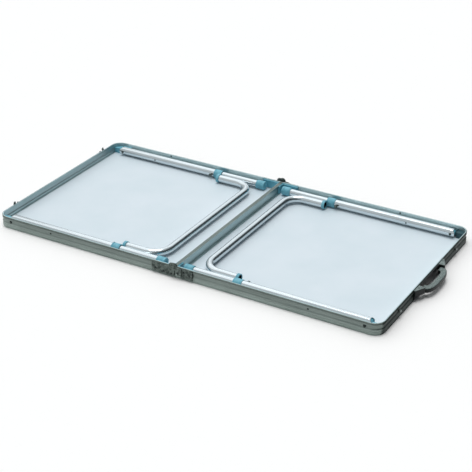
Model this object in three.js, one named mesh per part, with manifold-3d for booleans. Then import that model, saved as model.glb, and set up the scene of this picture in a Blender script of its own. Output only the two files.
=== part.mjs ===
// A suitcase-style aluminium folding table, lying open on its top with both leg sets folded
// into their trays. Millimetres, +Z up, z = 0 is the plane that the table top rests on.
// Each half is modelled in the same half frame: the seam is at x = 0, the outer end at +x.
// The left half is the same construction turned half a turn about Z.
import * as THREE from 'three';
import { mergeVertices } from 'three/addons/utils/BufferGeometryUtils.js';
import Module from 'manifold-3d';

const wasm = await Module();
wasm.setup();

// ---------------------------------------------------------------- driving dimensions
const TABLE_LENGTH = 1200; // both halves open
const TABLE_WIDTH = 600;
const RIM_HEIGHT = 35.2;
const CORNER_RADIUS = 32; // outer face of the bent rim
const GAP = 0.3; // running clearance between separate pieces
const SEAM_GAP = 0.8; // between the two halves when the table is open

const BOARD_THICKNESS = 5.5; // at its margin, in the slots
const BOARD_STEP = 0.4; // how far its outer face stands out between the flanges
const FLANGE = 1.7; // rim and rail flange under the board
const LEDGE = 1.8; // rim and rail flange over the board
const FLANGE_REACH = 9; // how far both flanges reach in under and over the board
const SLOT_DEPTH = 3.3; // outer face of the rim to the bottom of its board slot
const LIP_WALL = 4.2; // rim wall above the shoulder
const BOX_WALL = 6.2; // rim wall below the shoulder
const RECESS_DEPTH = 2.6; // long groove in the outer face of the rim
const RECESS_HEIGHT = 6.4; // its flat floor
const RAIL_WEB = 2.2;
const RAIL_LIP = 4.8; // top face of the seam rail

const TUBE_RADIUS = 12;
const TUBE_WALL = 1.2;
const TUBE_INSET = 26; // rim outer face to a leg's axis
const SLIDE_CLEARANCE = 0.4; // extension tube in the outer tube, on the radius
const PIVOT_INSET = 45; // rim end to the leg pivot
const STANDING_HEIGHT = 700; // table height with the legs fully drawn out
const PIN_RADIUS = 3;
const PIN_HEAD_RADIUS = 5;
const PIN_HEAD = 2.2;
const SIDE_PLAY = 0.5; // between a leg and the cheeks of its bracket
const CORNER_FIT = 0.6; // bracket inside the bent rim
const STOP_RISE = 3; // top of the bracket's stop over a leg's axis
const PLUG_LENGTH = 30; // from the pivot into the outer tube
const TAIL_CLEARANCE = 20; // between the plug and a pushed-in extension tube
const CHEEK_LEAD = 14; // how far the bracket's cheek starts before the pivot
const CHEEK_RISE = 5; // top of the cheek over a leg's axis

const BRACE_RADIUS = 11;
const BRACE_WALL = 1.2;
const BRACE_BEND = 50;
const COLLAR_WALL = 1.4;
const COLLAR_LENGTH = 26;
const COLLAR_MOUTH = 4; // end wall of the collar around the extension tube
const SOCKET_WALL = 1.7;
const SOCKET_LENGTH = 9;
const WEB_RISE = 9; // half the height of the web between collar and socket
const SOCKET_LEAD = 5; // how far the brace socket starts before the collar
const SOCKET_LIP = 2; // how far the socket runs past the open end of the brace
const CAP_LENGTH = 28;
const CAP_WALL = 2.4;
const CAP_FLOOR = 6;
const CONNECTOR_WALL_LEG = 58; // seam connector along the long wall
const CONNECTOR_RAIL_LEG = 26; // and along the seam rail
const CONNECTOR_THICKNESS = 2.8;

const KNOB_OFFSET = 8; // collar to the height lock knob
const KNOB_REACH = 8; // knob face off the tube
const KNOB_DISC = 4;
const KNOB_RADIUS = 5;
const KNOB_STEM = 2.2;

const HINGE_LENGTHS = { left: 72, right: 56 }; // the hinge plates along the rim
const HINGE_THICKNESS = 2.5;
const KNUCKLE_RADIUS = 9.5;
const EYE_RADIUS = 8.5; // of the inner plate's second, blind eye next to its knuckle
const EYE_OFFSET = 9;
const HINGE_LOW = 6; // lower edge of a hinge plate
const HINGE_DROP = 1.5; // its upper edge under the rim's top
const HINGE_SHUT = 2; // between that eye and the outer plate of a shut table
const HINGE_STEP = 3; // width of the outer plate's riser

const LATCH_INSET = 112; // long side to a latch pivot, and to a catch stud
const LATCH_REST = 22; // degrees that an idle latch arm points above the floor plane
const LATCH_WIDTH = 13;
const LATCH_THICKNESS = 2.4;
const LATCH_TIP = 8; // from the notch to the end of the arm
const STUD_RADIUS = 2.8;
const STUD_HEAD = 2.2;
const STUD_HEAD_RADIUS = 4.8;

const GRIP_LENGTH = 130;
const GRIP_REACH = 37; // rim end to the grip's outer face
const GRIP_WIDTH = 17; // at its middle
const GRIP_THICKNESS = 14;
const GRIP_ARM = 20; // width of its two end arms
const GRIP_PIVOT_REACH = 11.5; // rim end to the grip's pivot
const GRIP_Z = 21;
const TRUNNION = 2.6;
const TRUNNION_LENGTH = 8;
const LUG_LENGTH = 32.5;
const LUG_LOW = 16; // underside of a lug
const LUG_LAND = 5; // full-depth part of a lug next to the grip
const LUG_NOSE = 7; // how far a lug reaches past the grip's pivot
const HANDLE_PLATE = 3;
const GRIP_ROOT = 4.5; // how far the grip's arms reach behind its pivot
const GRIP_BEVEL = 2.4;
const GRIP_BOW = 0.55; // the smaller, the flatter its long side and the tighter its corners
const GAP_BOW = 0.4; // the same for the finger gap
const BOW_TAPER = 0.8; // the smaller, the more the bow narrows towards its middle

// how finely round pieces are drawn
const CORNER_STEPS = 6;
const TUBE_SIDES = 16;
const RING_SIDES = 12;
const PIN_SIDES = 10;
const BOW_STEPS = 12;
const OVERCUT = 20; // how far a cutting shape runs past what it cuts

// where each leg set differs, measured from the seam: foot, brace bar, collar
const LEG_SETS = {
  left: { foot: 43, brace: 76, collar: 192 },
  right: { foot: 17, brace: 56, collar: 168 },
};

// ---------------------------------------------------------------- derived places
const HALF_LENGTH = TABLE_LENGTH / 2;
const HALF_WIDTH = TABLE_WIDTH / 2;
const SEAM = SEAM_GAP / 2;
const FOLD_Z = RIM_HEIGHT + GAP / 2;
const BOARD_BOTTOM = FLANGE + GAP;
const BOARD_TOP = BOARD_BOTTOM + BOARD_THICKNESS;
const BOARD_FACE = BOARD_BOTTOM - BOARD_STEP;
const LEDGE_BOTTOM = BOARD_TOP + GAP;
const LEDGE_TOP = LEDGE_BOTTOM + LEDGE;
const COLLAR_RADIUS = TUBE_RADIUS + GAP + COLLAR_WALL;
const TUBE_Z = RIM_HEIGHT - GAP - COLLAR_RADIUS; // leg axis: the collars stay just below the rim
const TUBE_Y = HALF_WIDTH - TUBE_INSET;
const PIVOT_X = HALF_LENGTH - PIVOT_INSET;
const STOP_X = PIVOT_X + TUBE_RADIUS + 2 * GAP; // the bracket stops an upright leg here
const SHOULDER = TUBE_Z - RECESS_HEIGHT / 2 - 1.2; // foot of the thin upper wall, inside
const SHOULDER_TOP = SHOULDER + 2;
const BORE = TUBE_RADIUS - TUBE_WALL;
const EXTENSION_RADIUS = BORE - SLIDE_CLEARANCE;
const CAP_RADIUS = EXTENSION_RADIUS + GAP + CAP_WALL;
const BRACE_Y = TUBE_Y - TUBE_RADIUS - BRACE_RADIUS - 1;
const SOCKET_RADIUS = BRACE_RADIUS + GAP + SOCKET_WALL;
const PIN_FACE = TUBE_Y - TUBE_RADIUS - SIDE_PLAY; // a leg pin's head lies against the leg's inner side
const HINGE_FACE = HALF_WIDTH + GAP;
const HINGE_JOG = EYE_OFFSET + EYE_RADIUS + HINGE_SHUT; // the outer plate steps over the inner one here
const LATCH_SPREAD = HALF_WIDTH - LATCH_INSET;
const LATCH_REACH = 2 * (FOLD_Z - TUBE_Z); // latch pivot to catch stud on a shut table
const LATCH_FACE = HALF_LENGTH + GAP + 0.2;
const FASTENER_END = LATCH_FACE + LATCH_THICKNESS + GAP + STUD_HEAD; // outer face of the heads
const LUG_FACE = GRIP_LENGTH / 2 + GAP;
const GRIP_PIVOT = HALF_LENGTH + GRIP_PIVOT_REACH;

const ALUMINIUM = { color: 0x8d9a95, roughness: 0.38, metalness: 0.9 };
const TUBE_FINISH = { color: 0xc9d4da, roughness: 0.28, metalness: 0.9 };
const BOARD_FINISH = { color: 0xdae3e9, roughness: 0.45, metalness: 0.0 };
const TEAL_PLASTIC = { color: 0x5fa3ae, roughness: 0.5, metalness: 0.0 };
const BLACK_PLASTIC = { color: 0x151c1d, roughness: 0.55, metalness: 0.0 };
const STEEL = { color: 0x6b7370, roughness: 0.4, metalness: 0.9 };

// ---------------------------------------------------------------- small tools
function toSolid(geometry) {
  const bare = geometry.index ? geometry.toNonIndexed() : geometry.clone();
  for (const name of Object.keys(bare.attributes)) if (name !== 'position') bare.deleteAttribute(name);
  const merged = mergeVertices(bare, 1e-4);
  const vertProperties = new Float32Array(merged.attributes.position.array);
  const triVerts = new Uint32Array(merged.index.array);
  return new wasm.Manifold(new wasm.Mesh({ numProp: 3, vertProperties, triVerts }));
}

function toGeometry(solid) {
  const { vertProperties, triVerts } = solid.getMesh();
  const geometry = new THREE.BufferGeometry();
  geometry.setAttribute('position', new THREE.BufferAttribute(new Float32Array(vertProperties), 3));
  geometry.setIndex(new THREE.BufferAttribute(new Uint32Array(triVerts), 1));
  geometry.computeVertexNormals();
  return geometry;
}

const join = (...shapes) => shapes.map(toSolid).reduce((all, next) => all.add(next));
const cut = (solid, ...shapes) => shapes.map(toSolid).reduce((left, next) => left.subtract(next), solid);

function box([x0, x1], [y0, y1], [z0, z1]) {
  const geometry = new THREE.BoxGeometry(x1 - x0, y1 - y0, z1 - z0);
  return geometry.translate((x0 + x1) / 2, (y0 + y1) / 2, (z0 + z1) / 2);
}

// A round bar between two places on one axis, at the other two coordinates given by `at`.
function rod(axis, radius, from, to, at, sides = PIN_SIDES) {
  const geometry = new THREE.CylinderGeometry(radius, radius, Math.abs(to - from), sides);
  if (axis === 'x') geometry.rotateZ(-Math.PI / 2);
  if (axis === 'z') geometry.rotateX(Math.PI / 2);
  const middle = { ...at, [axis]: (from + to) / 2 };
  return geometry.translate(middle.x, middle.y, middle.z);
}

// A flat outline in plan, raised from z0 to z1.
function plate(points, z0, z1) {
  const shape = new THREE.Shape(points.map(([x, y]) => new THREE.Vector2(x, y)));
  return new THREE.ExtrudeGeometry(shape, { depth: z1 - z0, bevelEnabled: false }).translate(0, 0, z0);
}

// A flat outline in x and z, given a thickness from y0 to y1.
function sidePlate(points, y0, y1) {
  const low = Math.min(y0, y1);
  const high = Math.max(y0, y1);
  const outline = points.map(([x, z]) => [x, z]);
  return plate(outline, 0, high - low).rotateX(Math.PI / 2).translate(0, high, 0);
}

// A flat outline in y and z, given a thickness from x0 to x1.
function endPlate(points, x0, x1) {
  const upright = new THREE.Matrix4().makeBasis(
    new THREE.Vector3(0, 1, 0), new THREE.Vector3(0, 0, 1), new THREE.Vector3(1, 0, 0));
  return plate(points, x0, x1).applyMatrix4(upright);
}

function arc(cx, cy, radius, startDegrees, endDegrees, steps) {
  return Array.from({ length: steps + 1 }, (_, i) => {
    const a = THREE.MathUtils.degToRad(startDegrees + ((endDegrees - startDegrees) * i) / steps);
    return [cx + radius * Math.cos(a), cy + radius * Math.sin(a)];
  });
}

// A flat path that an extrusion follows with a section only where the path bends.
class BentPath extends THREE.Curve {
  constructor(points) {
    super();
    this.points = points.map(([x, y, z]) => new THREE.Vector3(x, y, z));
  }

  getPointAt(t) {
    const last = this.points.length - 1;
    return this.points[Math.round(t * last)].clone();
  }

  getPoint(t) {
    return this.getPointAt(t);
  }

  getTangentAt(t) {
    const last = this.points.length - 1;
    const i = Math.round(t * last);
    const ahead = this.points[Math.min(i + 1, last)].clone().sub(this.points[i]).normalize();
    const behind = this.points[i].clone().sub(this.points[Math.max(i - 1, 0)]).normalize();
    return ahead.add(behind).normalize();
  }
}

function alongPath(shape, points) {
  const extrudePath = new BentPath(points);
  return new THREE.ExtrudeGeometry(shape, { steps: points.length - 1, extrudePath });
}

// Two sides of the table share one shape; the other side is its mirror image in y.
const mirrored = (points, side) => points.map(([x, y]) => [x, y * side]);
const span = (side, a, b) => (side > 0 ? [a, b] : [-b, -a]);

// ---------------------------------------------------------------- rim, board and seam rail
// The rim's section: distance in from the outer face, height. It holds the board in a slot,
// and its outer face has a bead, a band, a deep recess, a lower band and an undercut foot.
function rimSection() {
  const top = RIM_HEIGHT;
  const recessLow = TUBE_Z - RECESS_HEIGHT / 2;
  const recessHigh = TUBE_Z + RECESS_HEIGHT / 2;
  return [
    [1.2, top], [0, top - 1.2], [0, top - 1.9], [1, top - 2.5], [1, top - 4], [0, top - 4.6],
    [0, recessHigh + 1.6], [RECESS_DEPTH, recessHigh], [RECESS_DEPTH, recessLow], [0, recessLow - 1.6],
    [0, 5.2], [1.4, 4.2], [1.4, 2.6], [0.6, 1.8],
    [1.2, 0], [FLANGE_REACH, 0], [FLANGE_REACH, FLANGE], [SLOT_DEPTH, FLANGE],
    [SLOT_DEPTH, LEDGE_BOTTOM], [FLANGE_REACH, LEDGE_BOTTOM], [FLANGE_REACH, LEDGE_TOP],
    [BOX_WALL, LEDGE_TOP], [BOX_WALL, SHOULDER], [LIP_WALL, SHOULDER_TOP], [LIP_WALL, top - 1.2],
    [LIP_WALL - 1.2, top],
  ];
}

function makeRim() {
  const turnX = HALF_LENGTH - CORNER_RADIUS;
  const turnY = HALF_WIDTH - CORNER_RADIUS;
  const path = [
    [SEAM, -HALF_WIDTH],
    ...arc(turnX, -turnY, CORNER_RADIUS, -90, 0, CORNER_STEPS),
    ...arc(turnX, turnY, CORNER_RADIUS, 0, 90, CORNER_STEPS),
    [SEAM, HALF_WIDTH],
  ].map(([x, y]) => [x, y, 0]);
  const section = new THREE.Shape(rimSection().map(([inward, z]) => new THREE.Vector2(-z, inward)));
  const holes = [1, -1].flatMap((side) => {
    const at = { x: PIVOT_X, z: TUBE_Z };
    const through = [side * (HALF_WIDTH - 12), side * (HALF_WIDTH + 1)];
    const sunk = [side * (HALF_WIDTH - RECESS_DEPTH), side * (HALF_WIDTH + 1)];
    return [rod('y', PIN_RADIUS + GAP, ...through, at), rod('y', PIN_HEAD_RADIUS, ...sunk, at)];
  });
  return toGeometry(cut(toSolid(alongPath(section, path)), ...holes));
}

// The board's margin lies in the slots of the rim and the rail. Between their flanges its outer
// face stands a little further out.
function makeBoard() {
  const turnX = HALF_LENGTH - CORNER_RADIUS;
  const turnY = HALF_WIDTH - CORNER_RADIUS;
  const outline = (edge, seamEdge) => [
    [seamEdge, -HALF_WIDTH + edge],
    ...arc(turnX, -turnY, CORNER_RADIUS - edge, -90, 0, CORNER_STEPS),
    ...arc(turnX, turnY, CORNER_RADIUS - edge, 0, 90, CORNER_STEPS),
    [seamEdge, HALF_WIDTH - edge],
  ];
  const margin = outline(SLOT_DEPTH + GAP, SEAM + RAIL_WEB + GAP);
  const face = outline(FLANGE_REACH + GAP, SEAM + FLANGE_REACH + GAP);
  return toGeometry(join(plate(margin, BOARD_BOTTOM, BOARD_TOP),
    plate(face, BOARD_FACE, BOARD_BOTTOM + BOARD_THICKNESS / 2)));
}

// The seam rail closes the open side of a tray: an upright web with two flanges for the board
// and a narrow lip along the top. Its lower part stops at the flanges of the rim.
function makeSeamRail() {
  const reach = SEAM + FLANGE_REACH;
  const web = SEAM + RAIL_WEB;
  const lip = RIM_HEIGHT - RAIL_WEB;
  const lowEnd = HALF_WIDTH - FLANGE_REACH - GAP;
  const highEnd = HALF_WIDTH - LIP_WALL - GAP;
  const low = [
    [SEAM, 0], [reach, 0], [reach, FLANGE], [web, FLANGE], [web, LEDGE_BOTTOM],
    [reach, LEDGE_BOTTOM], [reach, LEDGE_TOP], [web, LEDGE_TOP], [web, RIM_HEIGHT - 2],
    [SEAM, RIM_HEIGHT - 2],
  ];
  const high = [
    [SEAM, SHOULDER_TOP + GAP], [web, SHOULDER_TOP + GAP], [web, lip],
    [SEAM + RAIL_LIP, lip], [SEAM + RAIL_LIP, RIM_HEIGHT], [SEAM, RIM_HEIGHT],
  ];
  return toGeometry(join(sidePlate(low, -lowEnd, lowEnd), sidePlate(high, -highEnd, highEnd)));
}

// A moulded corner that ties the seam rail to the long rim wall, inside the tray.
function makeSeamConnector(side) {
  const thickness = CONNECTOR_THICKNESS;
  const z = [LEDGE_TOP + GAP, RIM_HEIGHT - RAIL_WEB - GAP];
  const outer = HALF_WIDTH - BOX_WALL - GAP;
  const inner = SEAM + RAIL_WEB + GAP;
  const railLeg = inner + 2 * thickness;
  const reach = HALF_WIDTH - LIP_WALL - GAP;
  const outline = [
    [inner, outer], [CONNECTOR_WALL_LEG, outer], [CONNECTOR_WALL_LEG, outer - thickness],
    [railLeg, outer - thickness], [railLeg, outer - CONNECTOR_RAIL_LEG],
    [inner, outer - CONNECTOR_RAIL_LEG],
  ];
  const upper = [
    [inner, outer - 0.5], [CONNECTOR_WALL_LEG, outer - 0.5], [CONNECTOR_WALL_LEG, reach], [inner, reach],
  ];
  return toGeometry(join(plate(mirrored(outline, side), ...z),
    plate(mirrored(upper, side), SHOULDER_TOP + GAP, z[1])));
}

// ---------------------------------------------------------------- leg bracket and pivot
// A moulded bracket in each corner of the rim: a stop beyond the leg's end, and a cheek between
// the leg and the long wall that carries the pivot.
function makeLegBracket(side) {
  const turnX = HALF_LENGTH - CORNER_RADIUS;
  const turnY = HALF_WIDTH - CORNER_RADIUS;
  const legSide = TUBE_Y + TUBE_RADIUS + SIDE_PLAY;
  // both follow the inside of the rim, at a given distance in from its outer face
  const stop = (inset, z0, z1) => {
    const radius = CORNER_RADIUS - inset;
    const from = THREE.MathUtils.radToDeg(Math.asin((TUBE_Y - turnY) / radius));
    const outline = [[STOP_X, TUBE_Y], ...arc(turnX, turnY, radius, from, 90, 5), [STOP_X, HALF_WIDTH - inset]];
    return plate(mirrored(outline, side), z0, z1);
  };
  const cheek = (inset, z0, z1) => box([PIVOT_X - CHEEK_LEAD, STOP_X + 1],
    span(side, legSide, HALF_WIDTH - inset), [z0, z1]);
  const boxInset = BOX_WALL + CORNER_FIT;
  const lipInset = LIP_WALL + CORNER_FIT;
  const step = SHOULDER_TOP + GAP;
  const body = join(
    stop(FLANGE_REACH + CORNER_FIT, BOARD_TOP + GAP, LEDGE_TOP + GAP),
    stop(boxInset, LEDGE_TOP + GAP, step),
    stop(lipInset, step, TUBE_Z + STOP_RISE),
    cheek(boxInset, LEDGE_TOP + GAP, step),
    cheek(lipInset, step, TUBE_Z + CHEEK_RISE),
  );
  const bore = rod('y', PIN_RADIUS + GAP, side * (legSide - 1), side * HALF_WIDTH, { x: PIVOT_X, z: TUBE_Z });
  return toGeometry(cut(body, bore));
}

function makePivotPin(side) {
  const at = { x: PIVOT_X, z: TUBE_Z };
  const head = [PIN_FACE - PIN_HEAD, PIN_FACE].map((y) => y * side);
  const shank = [PIN_FACE - 1, HALF_WIDTH - RECESS_DEPTH + 1.2].map((y) => y * side);
  const outerHead = [HALF_WIDTH - RECESS_DEPTH + GAP, HALF_WIDTH - 0.4].map((y) => y * side);
  return toGeometry(join(rod('y', PIN_RADIUS, ...shank, at), rod('y', PIN_HEAD_RADIUS, ...head, at),
    rod('y', PIN_HEAD_RADIUS - 2 * GAP, ...outerHead, at)));
}

// ---------------------------------------------------------------- leg set
// A bar along a leg, rounded about the pivot so that it can turn there, with a hole for the pin.
function makePivotBar(side, radius, start) {
  const at = { y: side * TUBE_Y, z: TUBE_Z };
  const pivot = { x: PIVOT_X, z: TUBE_Z };
  const across = span(side, TUBE_Y - OVERCUT, TUBE_Y + OVERCUT);
  const bar = toSolid(rod('x', radius, start, PIVOT_X + TUBE_RADIUS, at, TUBE_SIDES));
  const straight = box([start, PIVOT_X], across, [TUBE_Z - OVERCUT, TUBE_Z + OVERCUT]);
  const round = rod('y', radius, ...across, pivot, TUBE_SIDES);
  return cut(bar.intersect(join(straight, round)), rod('y', PIN_RADIUS + GAP, ...across, pivot));
}

const knobPlace = (set) => set.collar + COLLAR_LENGTH + KNOB_OFFSET;

// A hole for the lock knob's stem, through the inner side of a leg only.
function knobHole(side, x) {
  return rod('y', KNOB_STEM + GAP, side * (TUBE_Y - OVERCUT), side * TUBE_Y, { x, z: TUBE_Z });
}

function makeOuterTube(side, set) {
  const at = { y: side * TUBE_Y, z: TUBE_Z };
  const seamEnd = set.collar + COLLAR_MOUTH;
  const bore = rod('x', BORE, seamEnd - 1, PIVOT_X + TUBE_RADIUS + 1, at, TUBE_SIDES);
  const bar = makePivotBar(side, TUBE_RADIUS, seamEnd);
  return toGeometry(cut(bar, bore, knobHole(side, knobPlace(set))));
}

// A moulded plug that closes the pivot end of an outer tube and carries the pin.
function makeTubePlug(side) {
  return toGeometry(makePivotBar(side, BORE - GAP, PIVOT_X - PLUG_LENGTH));
}

function ring(outer, inner) {
  const circle = (radius, sides) => Array.from({ length: sides }, (_, i) => {
    const a = (2 * Math.PI * (i + 0.5)) / sides;
    return new THREE.Vector2(radius * Math.cos(a), radius * Math.sin(a));
  });
  const shape = new THREE.Shape(circle(outer, RING_SIDES));
  shape.holes.push(new THREE.Path(circle(inner, RING_SIDES)));
  return shape;
}

// The extension tube runs from the foot's floor nearly to the plug. One hole lies under the lock
// knob when the tube is pushed in, and the other when it is drawn out to the standing height.
function makeExtensionTube(side, set) {
  const at = [side * TUBE_Y, TUBE_Z];
  const tail = PIVOT_X - PLUG_LENGTH - TAIL_CLEARANCE;
  const path = [[set.foot + CAP_FLOOR + GAP, ...at], [tail, ...at]];
  const tube = toSolid(alongPath(ring(EXTENSION_RADIUS, EXTENSION_RADIUS - TUBE_WALL), path));
  const travel = STANDING_HEIGHT - TUBE_Z - (PIVOT_X - set.foot);
  return toGeometry(cut(tube, knobHole(side, knobPlace(set)), knobHole(side, knobPlace(set) + travel)));
}

// A moulded foot: a cup over the end of the extension tube with a rounded sole.
function makeFootCap(side, set) {
  const r = CAP_RADIUS;
  const bore = EXTENSION_RADIUS + GAP;
  const profile = [
    [0, 0], [r - 4, 0], [r - 1.2, 1.2], [r, 4], [r, CAP_LENGTH - 1], [r - 0.8, CAP_LENGTH],
    [bore, CAP_LENGTH], [bore, CAP_FLOOR], [0, CAP_FLOOR],
  ].map(([radius, along]) => new THREE.Vector2(radius, along));
  const cup = new THREE.LatheGeometry(profile, TUBE_SIDES);
  return toGeometry(toSolid(cup.rotateZ(-Math.PI / 2).translate(set.foot, side * TUBE_Y, TUBE_Z)));
}

// A moulded collar that clamps the outer tube's mouth and holds one end of the brace.
function makeCollar(side, set) {
  const tubeAt = { y: side * TUBE_Y, z: TUBE_Z };
  const braceAt = { y: side * BRACE_Y, z: TUBE_Z };
  const end = set.collar + COLLAR_LENGTH;
  const socket = set.collar - SOCKET_LEAD;
  const socketEnd = socket + SOCKET_LENGTH;
  const body = join(
    rod('x', COLLAR_RADIUS, set.collar, end, tubeAt, TUBE_SIDES),
    rod('x', SOCKET_RADIUS, socket, socketEnd, braceAt, TUBE_SIDES),
    box([set.collar, socketEnd], span(side, BRACE_Y, TUBE_Y), [TUBE_Z - WEB_RISE, TUBE_Z + WEB_RISE]),
  );
  // flattened underneath, where it lies just over the board
  const overBoard = box([socket - 1, end + 1], span(side, 0, HALF_WIDTH), [BOARD_TOP + GAP, RIM_HEIGHT]);
  return toGeometry(cut(body.intersect(toSolid(overBoard)),
    rod('x', TUBE_RADIUS + GAP, set.collar + COLLAR_MOUTH - GAP, end + 1, tubeAt, TUBE_SIDES),
    rod('x', EXTENSION_RADIUS + SLIDE_CLEARANCE, set.collar - 1, end, tubeAt, TUBE_SIDES),
    rod('x', BRACE_RADIUS + GAP, socket - 1, socketEnd + 1, braceAt, TUBE_SIDES)));
}

// The U-shaped tube that joins the two legs of a set: two arms and a crossbar.
function makeBrace(set) {
  const turnX = set.brace + BRACE_BEND;
  const turnY = BRACE_Y - BRACE_BEND;
  const armEnd = set.collar - SOCKET_LEAD + SOCKET_LENGTH - SOCKET_LIP;
  const path = [
    [armEnd, BRACE_Y], ...arc(turnX, turnY, BRACE_BEND, 90, 180, 5),
    ...arc(turnX, -turnY, BRACE_BEND, 180, 270, 5), [armEnd, -BRACE_Y],
  ].map(([x, y]) => [x, y, TUBE_Z]);
  return alongPath(ring(BRACE_RADIUS, BRACE_RADIUS - BRACE_WALL), path);
}

// A pull knob whose stem locks the extension through a hole in the outer tube.
function makeLockKnob(side, set) {
  const at = { x: knobPlace(set), z: TUBE_Z };
  const face = TUBE_Y - TUBE_RADIUS - KNOB_REACH;
  const nose = TUBE_Y - EXTENSION_RADIUS - GAP;
  return toGeometry(join(rod('y', KNOB_RADIUS, side * face, side * (face + KNOB_DISC), at, RING_SIDES),
    rod('y', KNOB_STEM, side * (face + KNOB_DISC - 1), side * nose, at)));
}

// ---------------------------------------------------------------- seam hinge
// Both plates lie on the rim's outer face. The left plate's knuckle is in the same layer, the
// right plate steps outward over it, and the pin passes through both at the rim's top edge.
function hingeOutline(hand, start) {
  const top = RIM_HEIGHT - HINGE_DROP;
  const end = HINGE_LENGTHS[hand];
  return [[end, HINGE_LOW], [end, top - 2.5], [end - 3, top], [start, top], [start, HINGE_LOW]];
}

function makeInnerHingePlate(side) {
  const layer = span(side, HINGE_FACE, HINGE_FACE + HINGE_THICKNESS);
  const knuckle = rod('y', KNUCKLE_RADIUS, ...layer, { x: 0, z: FOLD_Z }, TUBE_SIDES);
  const eye = rod('y', EYE_RADIUS, ...layer, { x: EYE_OFFSET, z: FOLD_Z }, TUBE_SIDES);
  const between = box([0, EYE_OFFSET], layer, [HINGE_LOW, FOLD_Z + EYE_RADIUS]);
  const bore = rod('y', PIN_RADIUS + GAP, layer[0] - 1, layer[1] + 1, { x: 0, z: FOLD_Z });
  const sheet = sidePlate(hingeOutline('left', SEAM), ...layer);
  return toGeometry(cut(join(sheet, knuckle, eye, between), bore));
}

function makeOuterHingePlate(side) {
  const stepEnd = HINGE_JOG + HINGE_STEP;
  const low = 2 * HINGE_LOW;
  const top = RIM_HEIGHT - HINGE_DROP;
  const layer = span(side, HINGE_FACE, HINGE_FACE + HINGE_THICKNESS);
  const outer = HINGE_FACE + HINGE_THICKNESS + GAP;
  const over = span(side, outer, outer + HINGE_THICKNESS);
  const riser = span(side, HINGE_FACE, outer + HINGE_THICKNESS);
  const knuckle = rod('y', KNUCKLE_RADIUS, ...over, { x: 0, z: FOLD_Z }, TUBE_SIDES);
  const bore = rod('y', PIN_RADIUS + GAP, over[0] - 1, over[1] + 1, { x: 0, z: FOLD_Z });
  const arm = [[stepEnd, low], [stepEnd, top], [0, FOLD_Z + 2], [0, FOLD_Z - 8], [HINGE_JOG - 8, low]];
  const step = [[stepEnd, low], [stepEnd, top], [HINGE_JOG, top], [HINGE_JOG, low]];
  const body = join(sidePlate(hingeOutline('right', HINGE_JOG), ...layer), sidePlate(step, ...riser),
    sidePlate(arm, ...over), knuckle);
  return toGeometry(cut(body, bore));
}

function makeHingePin(side) {
  const at = { x: 0, z: FOLD_Z };
  const outer = HINGE_FACE + 2 * HINGE_THICKNESS + GAP;
  return toGeometry(join(rod('y', PIN_RADIUS, side * HINGE_FACE, side * (outer + 1), at),
    rod('y', PIN_HEAD_RADIUS, side * (outer + GAP), side * (outer + GAP + PIN_HEAD), at)));
}

// ---------------------------------------------------------------- latches and catch studs
// A latch arm turns on the left end wall. It is outlined along its own length: its pivot at 0,
// its tip at +a, and its notch open on the side that it swings towards.
function makeLatchArm(side) {
  const half = LATCH_WIDTH / 2;
  const slot = STUD_RADIUS + 2 * GAP;
  const tip = LATCH_REACH + slot + LATCH_TIP;
  const outline = [
    ...arc(0, 0, half, 90, 270, 6), [tip - 3, -half], [tip, -half + 3], [tip, half],
    [LATCH_REACH + slot, half], ...arc(LATCH_REACH, 0, slot, 0, -180, 4),
    [LATCH_REACH - slot - 1.2, half],
  ];
  const lift = THREE.MathUtils.degToRad(LATCH_REST);
  const stand = ([a, b]) => [
    side * (LATCH_SPREAD + a * Math.cos(lift) - b * Math.sin(lift)),
    TUBE_Z + a * Math.sin(lift) + b * Math.cos(lift),
  ];
  const arm = endPlate(outline.map(stand), LATCH_FACE, LATCH_FACE + LATCH_THICKNESS);
  const bore = rod('x', STUD_RADIUS + GAP, LATCH_FACE - 1, LATCH_FACE + LATCH_THICKNESS + 1,
    { y: side * LATCH_SPREAD, z: TUBE_Z });
  return toGeometry(cut(toSolid(arm), bore));
}

// One turned stud serves as a latch's pivot on the left end and as its catch on the right end.
function makeStud(side) {
  const at = { y: side * LATCH_SPREAD, z: TUBE_Z };
  const headStart = LATCH_FACE + LATCH_THICKNESS + GAP;
  return toGeometry(join(
    rod('x', STUD_RADIUS, HALF_LENGTH - RECESS_DEPTH + GAP, headStart + 1, at),
    rod('x', STUD_HEAD_RADIUS, headStart, FASTENER_END, at)));
}

// ---------------------------------------------------------------- carrying handle
// A moulded base plate with two wedge-shaped lugs, and a bail grip that turns between them.
function makeHandleBase() {
  const back = HALF_LENGTH + GAP;
  const front = back + HANDLE_PLATE;
  const end = LUG_FACE + LUG_LENGTH;
  const nose = GRIP_PIVOT + LUG_NOSE;
  const top = RIM_HEIGHT - HINGE_DROP;
  const lugs = [1, -1].map((side) => plate(mirrored([
    [front - 1, LUG_FACE], [nose, LUG_FACE], [nose, LUG_FACE + LUG_LAND],
    [front + 1, end], [front - 1, end],
  ], side), LUG_LOW, top));
  const sheet = plate([[back, -end], [front, -end], [front, end], [back, end]], HINGE_LOW, top);
  const bores = [1, -1].map((side) => rod('y', TRUNNION + GAP, side * (LUG_FACE - 1),
    side * (LUG_FACE + TRUNNION_LENGTH + GAP), { x: GRIP_PIVOT, z: GRIP_Z }));
  return toGeometry(cut(join(sheet, ...lugs), ...bores));
}

// A bowed outline from y = half to y = -half, with its ends on the grip's root line.
function bowed(half, reach, flatness) {
  const root = GRIP_PIVOT - GRIP_ROOT;
  return Array.from({ length: BOW_STEPS + 1 }, (_, i) => {
    const turn = (Math.PI * i) / BOW_STEPS;
    const along = Math.abs(Math.cos(turn)) ** BOW_TAPER;
    return [root + (reach - root) * Math.sin(turn) ** flatness, half * Math.sign(Math.cos(turn)) * along];
  });
}

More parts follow.
